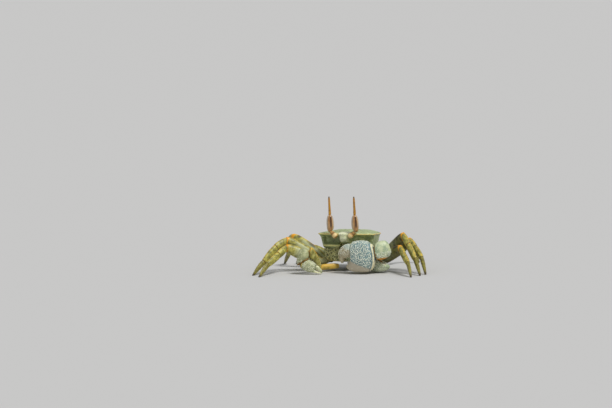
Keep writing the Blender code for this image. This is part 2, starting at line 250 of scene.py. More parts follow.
def joint(a, b, near=1.3):
    """Middle of the joint between two solids, its axis from a to b, and its two half widths with axes."""
    pa, pb = solid_points(a), solid_points(b)
    tree = KDTree(len(pb))
    for i, p in enumerate(pb):
        tree.insert(p, i)
    tree.balance()
    found = [(tree.find(p), p) for p in pa]
    limit = near + min(d for (q, i, d), p in found)
    ring = np.array([p for (q, i, d), p in found if d < limit])
    other = np.array([q for (q, i, d), p in found if d < limit])
    middle = (ring.mean(0) + other.mean(0)) / 2
    axes = np.linalg.svd(ring - ring.mean(0), full_matrices=False)[2]
    spread = np.abs((ring - ring.mean(0)) @ axes.T).max(0)
    if axes[2] @ (pb.mean(0) - pa.mean(0)) < 0:
        axes[2] = -axes[2]
    return middle, axes, spread


print("back centre in its own frame, mm:", in_body(solid_points("carapace")).mean(0).round(1))

# %% [markdown]
# ## Crab shell as a material
# Shell is chitin hardened with lime: a dielectric with an index near 1.55, satin where sand has rubbed
# it, never a mirror. Its colour lies in the lime in soft clouds, with darker pores between fine
# grains. One function builds each shell finish from its own colours: a ground and its shade in
# clouds, then warm, dark and pale markings where masks on the skin ask for them. Clouds and grains
# are three-dimensional, so they run on over every side without a seam.

# %% The shell finish
SHELL_IOR = 1.55


def shell(name, ground, shade, warm="#D8962A", dark="#2C2E1A", pale="#E4E4CC", cloud_mm=5.0, grain_mm=0.9,
          relief_mm=0.10, rough=0.44, fleck=0.35, net=None, net_mm=2.4):
    material = bpy.data.materials.new(name)
    material.use_nodes = True
    tree = material.node_tree
    tree.nodes.clear()
    place = add(tree, "ShaderNodeTexCoord").outputs["Object"]
    cloud = add(tree, "ShaderNodeTexNoise", {"Vector": place, "Scale": 1 / (cloud_mm * MM), "Detail": 5.0,
                                             "Roughness": 0.6})
    tint = add(tree, "ShaderNodeValToRGB", {"Fac": cloud.outputs["Fac"]},
               stops=((0.42, shade), (0.58, ground)))
    colour = tint.outputs["Color"]
    grain = add(tree, "ShaderNodeTexVoronoi", {"Vector": place, "Scale": 1 / (grain_mm * MM),
                                               "Randomness": 0.9}, feature="SMOOTH_F1")
    fine = add(tree, "ShaderNodeTexNoise", {"Vector": place, "Scale": 1 / (0.5 * MM), "Detail": 3.0})
    light = add(tree, "ShaderNodeMapRange", {"Value": grain.outputs["Distance"], "From Min": 0.15,
                                             "From Max": 0.6, "To Min": 1.4 * fleck, "To Max": 0.0})
    colour = add(tree, "ShaderNodeMix", {0: light.outputs[0], 6: colour, 7: linear(pale)},
                 data_type="RGBA").outputs[2]
    pore = add(tree, "ShaderNodeMapRange", {"Value": fine.outputs["Fac"], "From Min": 0.55, "From Max": 0.75,
                                            "To Min": 0.0, "To Max": 0.8})
    colour = add(tree, "ShaderNodeMix", {0: pore.outputs[0], 6: colour, 7: linear(shade)},
                 data_type="RGBA").outputs[2]
    height = add(tree, "ShaderNodeMath", {0: grain.outputs["Distance"], 1: -1.0, 2: 1.0},
                 operation="MULTIPLY_ADD").outputs[0]
    if net:
        wander = add(tree, "ShaderNodeTexNoise", {"Vector": place, "Scale": 1 / (2.0 * MM), "Detail": 2.0})
        bent = add(tree, "ShaderNodeVectorMath", {0: wander.outputs["Color"], 1: (1.6 * MM,) * 3, 2: place},
                   operation="MULTIPLY_ADD")
        cells = add(tree, "ShaderNodeTexVoronoi", {"Vector": bent.outputs[0], "Scale": 1 / (net_mm * MM)},
                    feature="DISTANCE_TO_EDGE")
        line = add(tree, "ShaderNodeMapRange", {"Value": cells.outputs["Distance"], "From Min": 0.05,
                                                "From Max": 0.16, "To Min": 1.0, "To Max": 0.0})
        netted = add(tree, "ShaderNodeAttribute", attribute_name="net")
        share = add(tree, "ShaderNodeMath", {0: line.outputs[0], 1: netted.outputs["Fac"]},
                    operation="MULTIPLY")
        colour = add(tree, "ShaderNodeMix", {0: share.outputs[0], 6: colour, 7: linear(net)},
                     data_type="RGBA").outputs[2]
        height = add(tree, "ShaderNodeMath", {0: share.outputs[0], 1: 1.4, 2: height},
                     operation="MULTIPLY_ADD").outputs[0]
    for mark, code in (("pale", pale), ("dark", dark), ("warm", warm)):
        where = add(tree, "ShaderNodeAttribute", attribute_name=mark)
        ragged = add(tree, "ShaderNodeMath", {0: cloud.outputs["Fac"], 1: 0.9, 2: -0.45},
                     operation="MULTIPLY_ADD")
        edge = add(tree, "ShaderNodeMath", {0: where.outputs["Fac"], 1: ragged.outputs[0]}, operation="ADD")
        share = add(tree, "ShaderNodeMapRange", {"Value": edge.outputs[0], "From Min": 0.3, "From Max": 0.75})
        colour = add(tree, "ShaderNodeMix", {0: share.outputs[0], 6: colour, 7: linear(code)},
                     data_type="RGBA").outputs[2]
    gloss = add(tree, "ShaderNodeMapRange", {"Value": fine.outputs["Fac"], "To Min": rough - 0.08,
                                             "To Max": rough + 0.12})
    relief = add(tree, "ShaderNodeBump", {"Height": height, "Strength": 0.8, "Distance": relief_mm * MM})
    surface = add(tree, "ShaderNodeBsdfPrincipled", {"Base Color": colour, "Roughness": gloss.outputs[0],
                                                     "IOR": SHELL_IOR, "Normal": relief.outputs[0]})
    add(tree, "ShaderNodeOutputMaterial", {"Surface": surface.outputs[0]})
    return material


# Each finish is lime-hardened chitin; what differs is the pigment and how coarse the grain is.
BACK = shell("back_chitin", "#A8B67E", "#7A8C58", warm="#E8E69C", dark="#4A522C", pale="#E2E8B8",
             cloud_mm=4.0, grain_mm=0.8, fleck=0.30, net="#98A06E", net_mm=2.2)
TRUNK = shell("underside_chitin", "#6C7038", "#343818", warm="#C8BE6C", dark="#242A1C", pale="#B8BC90",
              cloud_mm=4.0, grain_mm=0.8, fleck=0.2, net="#C4C486", net_mm=2.8)
MOUTH = shell("mouth_plate_chitin", "#8C9468", "#5C6644", warm="#D6CF96", dark="#2A2E1E", pale="#DCDCB0",
              cloud_mm=2.5, grain_mm=0.6)
# The palm's dark colour is painted shade: it darkens the furrow and the wrist end of the palm.
PALM = shell("palm_chitin", "#8AA6A4", "#648588", warm="#ECE4BC", dark="#3A4A4C", pale="#BEB49C",
             cloud_mm=5.0, grain_mm=1.0, fleck=0.12, relief_mm=0.14)
WRIST = shell("wrist_chitin", "#BECA9E", "#8CA282", warm="#DA9A34", dark="#5A6248", pale="#E6E4C4",
              cloud_mm=5.0, grain_mm=0.8, fleck=0.2)
FINGER = shell("finger_chitin", "#CCBE98", "#A0926C", warm="#C8A050", dark="#3A3226", pale="#A6B4A8",
               cloud_mm=3.5, grain_mm=0.7, fleck=0.2)
MINOR = shell("small_claw_chitin", "#B4B888", "#868E62", warm="#DCBC50", dark="#4A4C28", pale="#E4E2B4",
              cloud_mm=3.0, grain_mm=0.6, fleck=0.25)
CLAW_ARM = shell("claw_arm_chitin", "#B0A648", "#767028", warm="#D8B044", dark="#3A3E20", pale="#CCD09C",
                 cloud_mm=4.0, grain_mm=0.8, fleck=0.15)
LEG = shell("leg_chitin", "#C0B650", "#7A7630", warm="#EEA818", dark="#34301A", pale="#BCC090",
            cloud_mm=3.5, grain_mm=0.9, fleck=0.16)
DACTYL = shell("leg_tip_chitin", "#98903C", "#6C642A", warm="#9C8C3C", dark="#3C2A16", pale="#A8A458",
               cloud_mm=2.5, grain_mm=0.5, fleck=0.1)
STALK = shell("stalk_chitin", "#C8923C", "#9A6626", warm="#E4C88C", dark="#6A4A20", pale="#EFE2A8",
              cloud_mm=1.8, grain_mm=0.4, fleck=0.2, rough=0.36)
HORN = shell("horn_chitin", "#BC8414", "#9A6608", warm="#C89428", dark="#5A4A2A", pale="#D0A850",
             cloud_mm=2.0, grain_mm=0.4, fleck=0.05, rough=0.34)
print("shell finishes:", len([m for m in bpy.data.materials if m.name.endswith("chitin")]))

# %% [markdown]
# ## Grains and bristles by Geometry Nodes
# Grains on a claw and bristles on a leg repeat hundreds of times and follow a skin, which is what
# Geometry Nodes are for: points are scattered on the skin at an even spacing where a mask allows
# them, a small dome or a thin cone is set on each, and the result is made a plain mesh.

# %% The grain tree
def new_tree(name, sockets):
    tree = bpy.data.node_groups.new(name, "GeometryNodeTree")
    tree.interface.new_socket("Geometry", in_out="OUTPUT", socket_type="NodeSocketGeometry")
    tree.interface.new_socket("Skin", in_out="INPUT", socket_type="NodeSocketGeometry")
    for label, kind in sockets:
        tree.interface.new_socket(label, in_out="INPUT", socket_type=kind)
    return tree, add(tree, "NodeGroupInput").outputs


def scatter(tree, given, field):
    """Points on the skin, evenly spaced, where the named mask allows them."""
    where = add(tree, "GeometryNodeInputNamedAttribute", {"Name": field}, data_type="FLOAT").outputs[0]
    area = add(tree, "ShaderNodeMath", {0: given["Spacing"], 1: -2.0}, operation="POWER")
    most = add(tree, "ShaderNodeMath", {0: area.outputs[0], 1: 3.0}, operation="MULTIPLY")
    points = add(tree, "GeometryNodeDistributePointsOnFaces",
                 {"Mesh": given["Skin"], "Distance Min": given["Spacing"], "Density Max": most.outputs[0],
                  "Density Factor": where, "Seed": given["Seed"]}, distribute_method="POISSON")
    return points, where


def ends(tree, geometry, given):
    whole = add(tree, "GeometryNodeRealizeInstances", {"Geometry": geometry})
    soft = add(tree, "GeometryNodeSetShadeSmooth", {"Geometry": whole.outputs[0]})
    dressed = add(tree, "GeometryNodeSetMaterial", {"Geometry": soft.outputs[0],
                                                    "Material": given["Material"]})
    add(tree, "NodeGroupOutput", {"Geometry": dressed.outputs[0]})


GRAINS, given = new_tree("grains", (("Spacing", "NodeSocketFloat"), ("Size", "NodeSocketFloat"),
                                    ("Flat", "NodeSocketFloat"), ("Seed", "NodeSocketInt"),
                                    ("Material", "NodeSocketMaterial")))
points, where = scatter(GRAINS, given, "grains")
ball = add(GRAINS, "GeometryNodeMeshUVSphere", {"Segments": 8, "Rings": 5, "Radius": 1.0})
vary = add(GRAINS, "FunctionNodeRandomValue", {2: 0.62, 3: 1.15, "Seed": given["Seed"]}, data_type="FLOAT")
grow = add(GRAINS, "ShaderNodeMath", {0: where, 1: 0.6, 2: 0.4}, operation="MULTIPLY_ADD")
size = add(GRAINS, "ShaderNodeMath", {0: given["Size"], 1: vary.outputs[1]}, operation="MULTIPLY")
size = add(GRAINS, "ShaderNodeMath", {0: size.outputs[0], 1: grow.outputs[0]}, operation="MULTIPLY")
low = add(GRAINS, "ShaderNodeMath", {0: size.outputs[0], 1: given["Flat"]}, operation="MULTIPLY")
shape = add(GRAINS, "ShaderNodeCombineXYZ", {0: size.outputs[0], 1: size.outputs[0], 2: low.outputs[0]})
set_on = add(GRAINS, "GeometryNodeInstanceOnPoints",
             {"Points": points.outputs["Points"], "Instance": ball.outputs[0],
              "Rotation": points.outputs["Rotation"], "Scale": shape.outputs[0]})
ends(GRAINS, set_on.outputs[0], given)

# %% The bristle tree
BRISTLES, given = new_tree("bristles", (("Spacing", "NodeSocketFloat"), ("Length", "NodeSocketFloat"),
                                        ("Thickness", "NodeSocketFloat"), ("Lean", "NodeSocketFloat"),
                                        ("Seed", "NodeSocketInt"), ("Material", "NodeSocketMaterial")))
points, where = scatter(BRISTLES, given, "bristles")
hair = add(BRISTLES, "GeometryNodeMeshCone", {"Vertices": 4, "Side Segments": 2, "Radius Top": 0.15,
                                              "Radius Bottom": 1.0, "Depth": 1.0})
comb = add(BRISTLES, "GeometryNodeInputNamedAttribute", {"Name": "comb"}, data_type="FLOAT_VECTOR")
leaning = add(BRISTLES, "ShaderNodeVectorMath", {0: comb.outputs[0], "Scale": given["Lean"]},
              operation="SCALE")
stray = add(BRISTLES, "FunctionNodeRandomValue", {0: (-0.25,) * 3, 1: (0.25,) * 3, "Seed": given["Seed"]},
            data_type="FLOAT_VECTOR")
aim = add(BRISTLES, "ShaderNodeVectorMath", {0: points.outputs["Normal"], 1: leaning.outputs[0]},
          operation="ADD")
aim = add(BRISTLES, "ShaderNodeVectorMath", {0: aim.outputs[0], 1: stray.outputs[0]}, operation="ADD")
turned = add(BRISTLES, "FunctionNodeAlignRotationToVector", {"Vector": aim.outputs[0]}, axis="Z")
vary = add(BRISTLES, "FunctionNodeRandomValue", {2: 0.6, 3: 1.1, "Seed": given["Seed"]}, data_type="FLOAT")
tall = add(BRISTLES, "ShaderNodeMath", {0: given["Length"], 1: vary.outputs[1]}, operation="MULTIPLY")
shape = add(BRISTLES, "ShaderNodeCombineXYZ", {0: given["Thickness"], 1: given["Thickness"],
                                               2: tall.outputs[0]})
set_on = add(BRISTLES, "GeometryNodeInstanceOnPoints",
             {"Points": points.outputs["Points"], "Instance": hair.outputs[0],
              "Rotation": turned.outputs[0], "Scale": shape.outputs[0]})
ends(BRISTLES, set_on.outputs[0], given)


# %% Growing a tree's result on a skin
def grown(name, skin, tree, material, slot, **sizes):
    """Runs the tree on a skin and keeps the result as a plain mesh of its own."""
    obj = link(name, skin.data)
    run = obj.modifiers.new("grow", "NODES")
    run.node_group = tree
    for socket in tree.interface.items_tree:
        if socket.in_out == "INPUT" and socket.name in sizes:
            run[socket.identifier] = sizes[socket.name]
        if socket.in_out == "INPUT" and socket.name == "Material":
            run[socket.identifier] = material
    mesh = mesh_of(obj)
    obj.modifiers.clear()
    obj.data = mesh
    print(name, "faces:", len(mesh.polygons))
    return done(obj)


def combed(obj, direction):
    """Stores the way that bristles lean."""
    layer = obj.data.attributes.get("comb") or obj.data.attributes.new("comb", "FLOAT_VECTOR", "POINT")
    layer.data.foreach_set("vector", np.tile(np.array(direction, np.float32), len(obj.data.vertices)))


# %% [markdown]
# ## The back
# The back (carapace) is a box with sharp front corners. On top it has an H-shaped groove where muscles
# attach inside, low swellings over stomach and gills, and a fine grain. Its rim is a raised line.
# The front drops between the eyes as a narrow nose, and on each side of it is a long hollow, the
# orbit, where the eye can fold down, with a bead-edged margin below.

# %% The back's relief
back = fine_shell("carapace", levels=3, crease=0.35, swell=0.12)
points, normals = read(back)
place = in_body(points)
x, y, z = place.T
side = np.abs(x)
top = step_at(normals @ BODY_AXES[:, 2], 0.55, 0.9)
front = step_at(-y, 11.5, 14.5)
margin_height = -0.6
groove = bump_at(side - (6.8 + 0.03 * (y - 2.0) ** 2), 1.0)
groove *= step_at(y, -8.0, -5.0) * step_at(-y, -12.0, -9.0)
groove = np.maximum(groove, bump_at(y - 2.5 - 0.02 * x ** 2, 0.9) * step_at(-side, -8.0, -6.0))
groove = np.maximum(groove, 0.7 * bump_at(y + 4.0 - 0.5 * (side - 8.0), 0.9) * step_at(side, 7.5, 9.0)
                    * step_at(-side, -19.0, -15.0))
swelling = (0.5 * bump_at(np.hypot(x, y + 9.0), 6.0) + 0.6 * bump_at(np.hypot(side - 16.0, y - 4.0), 8.0)
            + 0.4 * bump_at(np.hypot(x, y - 10.0), 5.0))
rim = bump_at(z - margin_height, 0.75) * (1.0 - top)
brow = bump_at(z - (margin_height - 0.3), 1.0) * front * step_at(side, 4.0, 5.5)
socket = step_at(side, 4.5, 6.0) * step_at(-side, -27.5, -24.0) * front
lower_rim = bump_at(z + 12.3, 0.95) * socket
beads = 0.6 + 0.4 * np.sin(side * 2.0 * math.pi / 1.1)
corner = bump_at(np.hypot(np.hypot(side - 29.0, y + 16.4), z - margin_height), 2.6)
outward = np.column_stack((np.sign(x), -np.ones(len(x)), np.zeros(len(x)))) @ BODY_AXES.T
ahead = -BODY_AXES[:, 1]
shift = normals * (top * (swelling - 0.75 * groove) + 0.35 * rim + 0.2 * rim * beads)[:, None]
shift += ahead * (0.7 * brow + (0.6 + 0.5 * beads) * lower_rim)[:, None]
shift += outward * (0.9 * corner)[:, None]
shift -= BODY_AXES[:, 2] * (0.5 * step_at(-z, 14.0, 14.7))[:, None]
move(back, shift)

# %% The back's markings and grains
nose = step_at(-side, -5.8, -4.2) * step_at(-y, 17.0, 20.0) * step_at(z, -9.5, -7.5)
flank = step_at(-z, 10.0, 12.5)
hollow = socket * step_at(-z, 1.8, 3.2) * step_at(z, -11.6, -10.4)
under_nose = step_at(-side, -6.5, -5.0) * step_at(-z, 9.0, 10.5) * step_at(-y, 15.0, 17.0)
# In the orbit on the crab's right side (x < 0) the dark colour is painted shade.
mask(back, warm=np.maximum(np.maximum(0.95 * brow, 0.42 * hollow * (x > 0)),
                           np.maximum(0.95 * lower_rim, 0.7 * rim * (1 - front))),
     dark=np.clip(0.9 * groove * top + hollow * np.where(x < 0, 0.55, 0.0) + 0.45 * flank * (1 - lower_rim)
                  + 0.75 * under_nose, 0, 1),
     pale=0.75 * nose, net=flank, grains=np.maximum(0.6 * top * step_at(side, 10.0, 20.0), 0.6 * top),
     bristles=0.5 * flank * (1 - front))
combed(back, -BODY_AXES[:, 2])
done(back, BACK, ["carapace"])
SPECKS = shell("pale_grain_lime", "#F2F2E2", "#DCE2CC", cloud_mm=3.0, grain_mm=0.5, relief_mm=0.02,
               fleck=0.1)
BACK_SPECKS = shell("back_grain_lime", "#C2CDAE", "#A2B294", cloud_mm=3.0, grain_mm=0.5, relief_mm=0.02,
                    fleck=0.1)
grown("back_grains", back, GRAINS, BACK_SPECKS, "back_shell", Spacing=1.1 * MM, Size=0.38 * MM, Flat=0.6,
      Seed=11)
mask(back, grains=np.maximum(nose, 0.9 * rim * (side > 5.5)))
grown("nose_grains", back, GRAINS, SPECKS, "back_shell", Spacing=1.05 * MM, Size=0.52 * MM, Flat=0.7, Seed=12)

# %% [markdown]
# ## Trunk, mouth plates and tail flap
# Under the back is the breastplate with its seams, where the legs start. The two mouth plates close
# like doors over the jaws, and the narrow tail (abdomen) lies folded in a groove under the trunk. The
# seams are thin channels, so they are cut into the fine skins.

# %% Trunk and abdomen
trunk = fine_shell("trunk", levels=4, crease=0.4, swell=0.1)
points, normals = read(trunk)
x, y, z = in_body(points).T
below = step_at(-(normals @ BODY_AXES[:, 2]), 0.5, 0.85)
seam = np.zeros(len(x))
for start in (-10.5, -4.5, 2.5, 9.5):
    seam = np.maximum(seam, bump_at(y - start - 0.12 * np.abs(x), 0.55))
seam = np.maximum(seam, bump_at(x, 0.5) * step_at(-y, 8.0, 11.0))
front = step_at(-y, 15.5, 17.5)
curve = bump_at(np.sin((np.hypot(np.abs(x) - 4.0, z + 12.0)) * 2.0 * math.pi / 3.2) - 1.0, 0.5)
move(trunk, normals * (-0.5 * seam * below + 0.28 * curve * front)[:, None])
mask(trunk, net=np.maximum(front, 0.7 * (1 - below)), dark=0.8 * seam * below + 0.35 * front,
     pale=0.55 * below, warm=0.0 * x, bristles=0.6 * (1 - below) * (1 - front),
     grains=0.5 * front)
combed(trunk, -BODY_AXES[:, 2])
done(trunk, TRUNK, ["trunk"])
flap = fine_shell("abdomen", levels=3, crease=0.3, swell=0.1)
points, normals = read(flap)
x, y, z = in_body(points).T
ring = bump_at(np.sin((y + 12.0) * math.pi / 4.4), 0.16)
move(flap, normals * (-0.35 * ring)[:, None])
mask(flap, dark=0.8 * ring, pale=0.6 * (1 - ring), warm=0.0 * x, net=0.0 * x)
done(flap, TRUNK, ["abdomen"])

# %% Mouth plates
for word, sign in (("left", 1), ("right", -1)):
    plate = fine_shell("maxilliped_" + word, levels=4, crease=0.3, swell=0.1)
    points, normals = read(plate)
    x, y, z = in_body(points).T
    x = sign * x
    fold = bump_at(x - 3.4 + 0.02 * (z + 21.0) ** 2, 0.35)
    hinge = bump_at(z + 18.6 - 0.15 * x, 0.35)
    edge = bump_at(x - 0.9, 0.5)
    move(plate, normals * (-0.3 * fold - 0.4 * hinge + 0.2 * edge)[:, None])
    mask(plate, dark=0.8 * fold + 0.9 * hinge, warm=0.9 * edge + 0.6 * bump_at(x - 7.0, 0.5), pale=0.0 * x,
         bristles=np.maximum(edge, step_at(z, -17.0, -16.0)))
    combed(plate, BODY_AXES[:, 2] - 0.3 * BODY_AXES[:, 1])
    done(plate, MOUTH, ["maxilliped_" + word])

# %% [markdown]
# ## Feelers and the frame of the mouth
# Below the nose lie the short feelers (antennules), folded in small sockets, and outside them the thin
# antennae. Under those runs a raised cream frame (epistome) round the mouth. They are bent rods of
# shell, so each is a tube along a smooth path laid on the front of the body.

# %% Tubes laid on the body
def joined(name, meshes, material):
    """Several meshes as one piece."""
    bm = bmesh.new()
    for mesh in meshes:
        bm.from_mesh(mesh)
    mesh = bpy.data.meshes.new(name)
    bm.to_mesh(mesh)
    bm.free()
    obj = link(name, mesh)
    obj.data.shade_smooth()
    return done(obj, material)


def tube(path, thick, around=8, fine=6):
    """A tapering tube through points given in the body's own frame, in mm."""
    stops = [Vector(p) for p in path]
    line = []
    for k in range(len(stops) - 1):
        before, a = stops[max(k - 1, 0)], stops[k]
        b, after = stops[k + 1], stops[min(k + 2, len(stops) - 1)]
        for step in range(fine):
            h = step / fine
            line.append(0.5 * (2 * a + h * (b - before) + h * h * (2 * before - 5 * a + 4 * b - after)
                               + h ** 3 * (3 * a - before - 3 * b + after)))
    line.append(stops[-1])
    bm = bmesh.new()
    rings = []
    for k, p in enumerate(line):
        ahead = (line[min(k + 1, len(line) - 1)] - line[max(k - 1, 0)]).normalized()
        across = ahead.cross(Vector((0.3, 1.0, 0.2))).normalized()
        other = ahead.cross(across)
        r = thick * (1.0 - 0.55 * k / (len(line) - 1))
        rings.append([bm.verts.new(p + r * (math.cos(a) * across + math.sin(a) * other))
                      for a in np.arange(around) * 2 * math.pi / around])
    for a, b in zip(rings, rings[1:]):
        for k in range(around):
            bm.faces.new((a[k], a[(k + 1) % around], b[(k + 1) % around], b[k]))
    bm.faces.new(rings[0][::-1])
    bm.faces.new(rings[-1])
    bmesh.ops.recalc_face_normals(bm, faces=bm.faces)
    for v in bm.verts:
        v.co = Vector(BODY_AXES @ np.array(v.co) + np.array(BODY_AT)) * MM
    mesh = bpy.data.meshes.new("tube")
    bm.to_mesh(mesh)
    bm.free()
    return mesh


corners, sides = [], []
for node in ("carapace", "trunk", "maxilliped_left", "maxilliped_right"):
    mesh = bpy.data.objects[node + "_skin"].data
    first = len(corners)
    corners += [tuple(in_body(np.array(v.co) / MM)) for v in mesh.vertices]
    sides += [tuple(first + k for k in face.vertices) for face in mesh.polygons]
front_wall = BVHTree.FromPolygons(corners, sides)


def laid(path, thick, lift=0.2):
    """A tube that follows the front of the body through places given across and up."""
    places = []
    for x, z in path:
        hit = front_wall.ray_cast(Vector((x, -60.0, z)), Vector((0.0, 1.0, 0.0)))[0]
        places.append((x, hit.y - lift, z))
    return tube(places, thick)


RODS = (
    (0.42, ((1.0, -11.6), (2.6, -11.0), (4.4, -11.8), (3.6, -12.9), (1.8, -12.7))),
    (0.40, ((5.4, -9.6), (5.9, -11.2), (7.2, -13.4), (9.6, -14.2))),
    (0.45, ((0.3, -14.4), (2.4, -13.8), (5.0, -14.4), (7.6, -13.9), (9.4, -15.4), (9.8, -18.0),
            (9.2, -21.5))),
    (0.36, ((6.4, -15.2), (8.0, -16.2), (6.6, -17.4), (8.2, -18.8), (7.0, -20.2))),
    (0.30, ((11.0, -15.6), (14.0, -17.6), (18.0, -18.6))),
    (0.30, ((11.2, -18.6), (14.0, -20.4), (17.0, -21.2))),
)
rods = [laid([(sign * x, z) for x, z in path], thick) for sign in (-1, 1) for thick, path in RODS]
FEELER = shell("feeler_chitin", "#D2C878", "#A09848", pale="#E8E2B0", dark="#5A5428", cloud_mm=1.5,
               grain_mm=0.4)
joined("feelers", rods, FEELER)

# %% [markdown]
# ## Bristle hair
# Bristles (setae) are thin, stiff and horny, golden brown, a tenth of a millimetre thick. Drawn a
# little thicker than that, so that they show.

# %% The bristle finish
bristle_hair = shell("bristle_horn", "#B89A54", "#8A6E34", cloud_mm=2.0, grain_mm=0.5, relief_mm=0.01,
                     fleck=0.0)
for word in ("left", "right"):
    grown("mouth_bristles_" + word, bpy.data.objects["maxilliped_" + word + "_skin"], BRISTLES, bristle_hair,
          "mouth_plates", Spacing=0.55 * MM, Length=1.5 * MM, Thickness=0.07 * MM, Lean=1.6, Seed=21)

# %% [markdown]
# ## Eyes
# The eye itself is the swollen part above the stalk: hundreds of tiny facets under one glossy
# skin, copper with a darker upright band. A plain horn grows on from its tip. The eye is smooth and wet,
# so it gets a glassy coat; the facets are far too fine to see and only soften its gloss.

# %% The eye's surface
def eye_surface():
    material = bpy.data.materials.new("eye_cornea")
    material.use_nodes = True
    tree = material.node_tree
    tree.nodes.clear()
    place = add(tree, "ShaderNodeTexCoord").outputs["Object"]
    streak = add(tree, "ShaderNodeMapping", {"Vector": place, "Scale": (1 / MM, 1 / MM, 0.15 / MM)})
    cloud = add(tree, "ShaderNodeTexNoise", {"Vector": streak.outputs[0], "Scale": 0.9, "Detail": 4.0})
    base = add(tree, "ShaderNodeValToRGB", {"Fac": cloud.outputs["Fac"]},
               stops=((0.3, "#946030"), (0.5, "#BC8A4E"), (0.7, "#DAB07A")))
    band = add(tree, "ShaderNodeAttribute", attribute_name="dark")
    colour = add(tree, "ShaderNodeMix", {0: band.outputs["Fac"], 6: base.outputs[0], 7: linear("#38200E")},
                 data_type="RGBA").outputs[2]
    rim = add(tree, "ShaderNodeAttribute", attribute_name="pale")
    colour = add(tree, "ShaderNodeMix", {0: rim.outputs["Fac"], 6: colour, 7: linear("#C2C0AE")},
                 data_type="RGBA").outputs[2]
    facets = add(tree, "ShaderNodeTexVoronoi", {"Vector": place, "Scale": 1 / (0.22 * MM)})
    relief = add(tree, "ShaderNodeBump", {"Height": facets.outputs["Distance"], "Strength": 0.25,
                                          "Distance": 0.02 * MM})
    surface = add(tree, "ShaderNodeBsdfPrincipled", {"Base Color": colour, "Roughness": 0.22, "IOR": 1.45,
                                                     "Coat Weight": 0.6, "Coat Roughness": 0.08,
                                                     "Normal": relief.outputs[0]})
    add(tree, "ShaderNodeOutputMaterial", {"Surface": surface.outputs[0]})
    return material


CORNEA = eye_surface()
for word in ("left", "right"):
    eye = fine_shell("cornea_" + word, levels=3, crease=0.0, swell=0.25)
    points, normals = read(eye)
    facing = np.arctan2(normals[:, 0], -normals[:, 1])
    rise = (points[:, 2] - points[:, 2].min()) / np.ptp(points[:, 2])
    band = bump_at(facing - 0.2, 0.36) * step_at(rise, 0.12, 0.4) * step_at(-rise, -0.97, -0.9)
    rims = np.maximum(bump_at(facing - 1.05, 0.25), bump_at(facing + 0.95, 0.25)) * (0.55 + 0.45 * rise)
    mask(eye, dark=band, pale=0.95 * rims)
    done(eye, CORNEA, ["cornea_" + word])
    horn = fine_shell("horn_" + word, levels=3, crease=0.3, swell=0.08)
    points, normals = read(horn)
    rise = (points[:, 2] - points[:, 2].min()) / np.ptp(points[:, 2])
    around = np.arctan2(normals[:, 0], normals[:, 1])
    move(horn, normals * (0.05 * np.sin(rise * 60.0) + 0.05 * np.sin(around * 5.0))[:, None])
    mask(horn, dark=step_at(rise, 0.86, 1.0), warm=0.5 * bump_at(rise - 0.1, 0.15), pale=0.0 * rise)
    done(horn, HORN, ["horn_" + word])
    stalk = fine_shell("eyestalk_" + word, levels=3, crease=0.3, swell=0.15)
    start, length, axes = limb_axes("eyestalk_" + word, towards="cornea_" + word)
    points, normals = read(stalk)
    t = (points - start) @ axes[0] / length
    move(stalk, normals * (0.35 * bump_at(t - 0.25, 0.2) - 0.25 * bump_at(t - 0.55, 0.08))[:, None])
    mask(stalk, warm=bump_at(t - 0.2, 0.2), dark=0.7 * bump_at(t - 0.55, 0.1),
         pale=0.6 * step_at(t, 0.7, 0.9))
    done(stalk, STALK, ["eyestalk_" + word])

# %% [markdown]
# ## Walking legs
# Each leg has a broad flat thigh (merus), a short wrist (carpus), a ridged shin (propodus) and a fluted
# pointed tip (dactyl). Thighs carry short scale-like rows, shins have lengthwise keels with
# bristles between them, and the tips are grooved like a file. The knees glow orange, because the soft
# skin and the shell's rim there have the strongest pigment.

